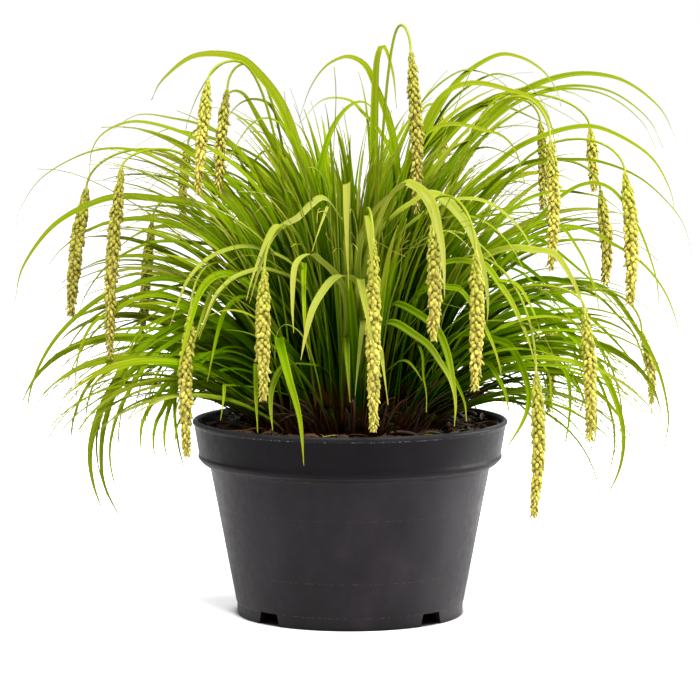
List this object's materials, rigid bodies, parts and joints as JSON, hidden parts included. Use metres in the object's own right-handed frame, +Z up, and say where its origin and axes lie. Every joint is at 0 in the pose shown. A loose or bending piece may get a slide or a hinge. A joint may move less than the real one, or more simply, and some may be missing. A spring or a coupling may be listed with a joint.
{
  "type": "potted pendulous sedge",
  "caption": "Clump of pendulous sedge in a round tapered nursery pot: narrow leaves arch out all round, and spikes hang from bowed stems.",
  "frame": {"origin": "centre of the pot's foot, on the ground", "axes": "+Z up, +X to the right as seen from the front, the front faces -Y"},
  "size_m": [0.6714, 0.5853, 0.5857],
  "materials": {
    "pot": "dusty charcoal moulded plastic",
    "soil": "dark damp potting mix with dry leaf litter",
    "crown": "reddish-brown fibrous leaf bases",
    "leaf": "satin green leaf with a keel and fine veins",
    "flower_stem": "creamy yellow-green scaly spike on a green stem"
  },
  "bodies": {
    "root": {"pot": "pot", "soil": "soil", "crown": "crown", "flower_stem_01": "flower_stem", "flower_stem_02": "flower_stem", "flower_stem_03": "flower_stem", "flower_stem_04": "flower_stem", "flower_stem_05": "flower_stem", "flower_stem_06": "flower_stem", "flower_stem_07": "flower_stem", "flower_stem_08": "flower_stem", "flower_stem_09": "flower_stem", "flower_stem_10": "flower_stem", "flower_stem_11": "flower_stem", "flower_stem_12": "flower_stem", "flower_stem_13": "flower_stem", "flower_stem_14": "flower_stem", "flower_stem_15": "flower_stem", "flower_stem_16": "flower_stem", "flower_stem_17": "flower_stem", "flower_stem_18": "flower_stem", "flower_stem_19": "flower_stem", "flower_stem_20": "flower_stem", "flower_stem_21": "flower_stem", "flower_stem_22": "flower_stem", "flower_stem_23": "flower_stem", "flower_stem_24": "flower_stem", "flower_stem_25": "flower_stem", "leaf_tuft_01": "leaf", "leaf_tuft_02": "leaf", "leaf_tuft_03": "leaf", "leaf_tuft_04": "leaf", "leaf_tuft_05": "leaf", "leaf_tuft_06": "leaf", "leaf_tuft_07": "leaf", "leaf_tuft_08": "leaf", "leaf_tuft_09": "leaf", "leaf_tuft_10": "leaf", "leaf_tuft_11": "leaf", "leaf_tuft_12": "leaf", "leaf_tuft_13": "leaf", "leaf_tuft_14": "leaf", "leaf_tuft_15": "leaf", "leaf_tuft_16": "leaf", "leaf_tuft_17": "leaf", "leaf_tuft_18": "leaf", "leaf_tuft_19": "leaf", "leaf_tuft_20": "leaf", "leaf_tuft_21": "leaf", "leaf_tuft_22": "leaf", "leaf_tuft_23": "leaf", "leaf_tuft_24": "leaf", "leaf_tuft_25": "leaf", "leaf_tuft_26": "leaf", "leaf_tuft_27": "leaf", "leaf_tuft_28": "leaf", "leaf_tuft_29": "leaf", "leaf_tuft_30": "leaf", "leaf_tuft_31": "leaf", "leaf_tuft_32": "leaf"}
  },
  "joints": []
}
